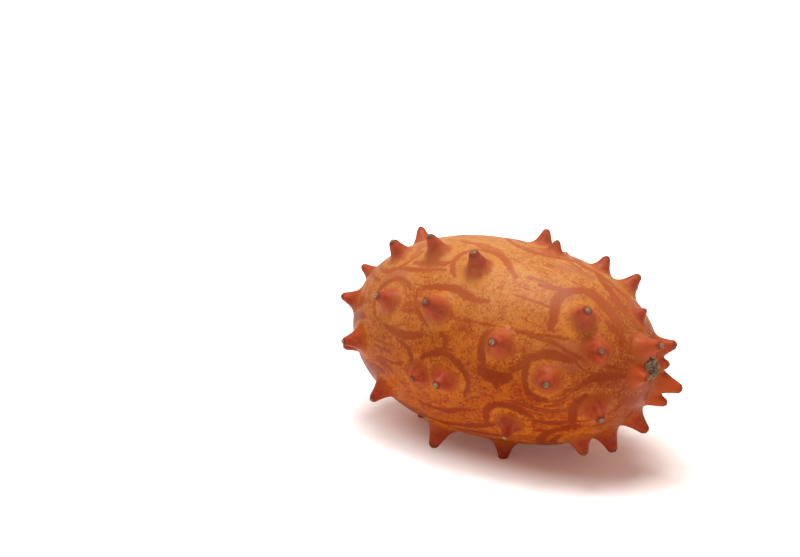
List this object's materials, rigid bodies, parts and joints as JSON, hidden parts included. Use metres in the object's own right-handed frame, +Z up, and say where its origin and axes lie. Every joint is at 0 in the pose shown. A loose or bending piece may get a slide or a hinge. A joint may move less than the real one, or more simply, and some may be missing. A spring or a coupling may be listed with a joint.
{
  "type": "horned melon",
  "caption": "Whole ripe horned melon lying on its side: an egg-shaped orange fruit covered in blunt conical horns, with a corky stalk scar at one end.",
  "frame": {"origin": "middle of the fruit's box in X and Y, on the surface that it lies on", "axes": "+X along the fruit towards the stalk scar, +Z up, -Y towards the side that shows best"},
  "size_m": [0.123, 0.0834, 0.0771],
  "materials": {
    "rind": "satin",
    "cork": "matte"
  },
  "bodies": {
    "root": {"fruit": "rind"}
  },
  "joints": []
}
